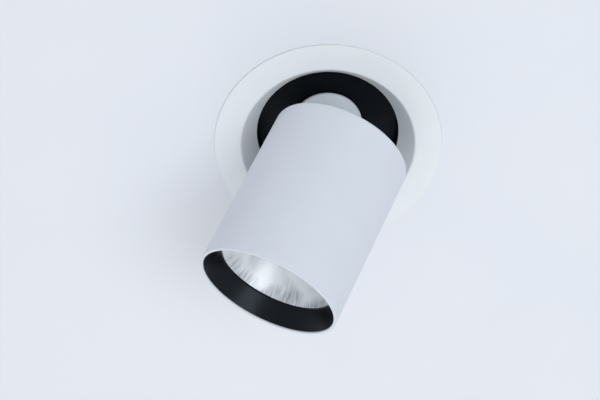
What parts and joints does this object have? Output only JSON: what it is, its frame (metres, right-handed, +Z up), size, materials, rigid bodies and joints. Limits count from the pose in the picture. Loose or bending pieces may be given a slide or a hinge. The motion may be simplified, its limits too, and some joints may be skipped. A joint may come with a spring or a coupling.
{
  "type": "downlight",
  "caption": "Recessed ceiling spotlight: tubular head with a black baffle and bright reflector on a turning, tilting arm in a round white trim with spring clips.",
  "frame": {"origin": "centre of the flange's back face, on the ceiling's surface", "axes": "+Z points up into the ceiling void; the head tilts towards +X and its tilt pin lies along Y; the clips are at +Y and -Y"},
  "size_m": [0.1389, 0.1786, 0.1523],
  "materials": {
    "white_paint": "fine matt powder coat",
    "black_paint": "matt black coat",
    "black_baffle": "satin black",
    "bright_reflector": "faceted, vacuum-metallised",
    "steel": "zinc plated",
    "spring_steel": "oiled spring steel",
    "aluminium": "die cast, bare",
    "brass": "turned",
    "nylon": "natural nylon",
    "grey_sleeve": "soft moulded",
    "black_rubber": "moulded",
    "white_board": "satin",
    "phosphor": "soft silicone"
  },
  "bodies": {
    "housing": {"trim_ring": "white_paint", "well_can": "black_paint", "can_screws": "steel", "pan_bush": "nylon", "pan_stop": "steel", "clip_bracket_a": "steel", "clip_bracket_b": "steel", "bracket_screws": "steel", "clip_pins": "steel"},
    "wing_a": {"clip_wing_a": "spring_steel", "wing_sleeve_a": "grey_sleeve", "clip_spring_a": "spring_steel"},
    "wing_b": {"clip_wing_b": "spring_steel", "wing_sleeve_b": "grey_sleeve", "clip_spring_b": "spring_steel"},
    "turret": {"turret_disc": "white_paint", "spindle": "brass", "top_washer": "nylon", "stop_washer": "steel", "spring_washer": "spring_steel", "spindle_nut": "brass", "lead_grommet": "black_rubber", "tilt_arm": "white_paint", "foot_screws": "steel"},
    "head": {"head_shell": "white_paint", "back_screws": "steel", "heat_sink": "aluminium", "yoke": "steel", "yoke_screws": "steel", "tilt_washer_a": "nylon", "tilt_washer_b": "nylon", "tilt_pin": "steel", "tilt_nut": "steel", "light_board": "white_board", "emitter": "phosphor", "board_holder": "white_board", "holder_screws": "steel", "reflector": "bright_reflector", "baffle": "black_baffle"}
  },
  "joints": [
    {"name": "pan", "type": "hinge", "parent": "housing", "child": "turret", "pos_m": [0, 0, 0.0251], "axis": [0, 0, 1], "range_deg": [-170, 170]},
    {"name": "tilt", "type": "hinge", "parent": "turret", "child": "head", "pos_m": [0, 0, -0.0275], "axis": [0, -1, 0], "range_deg": [-35, 35]},
    {"name": "clip_fold_a", "type": "hinge", "parent": "housing", "child": "wing_a", "pos_m": [0, 0.0482, 0.0205], "axis": [1, 0, 0], "range_deg": [0, 85], "stiffness_Nm_per_rad": 0.1, "springref_deg": -28.65},
    {"name": "clip_fold_b", "type": "hinge", "parent": "housing", "child": "wing_b", "pos_m": [0, -0.0482, 0.0205], "axis": [-1, 0, 0], "range_deg": [0, 85], "stiffness_Nm_per_rad": 0.1, "springref_deg": -28.65}
  ]
}
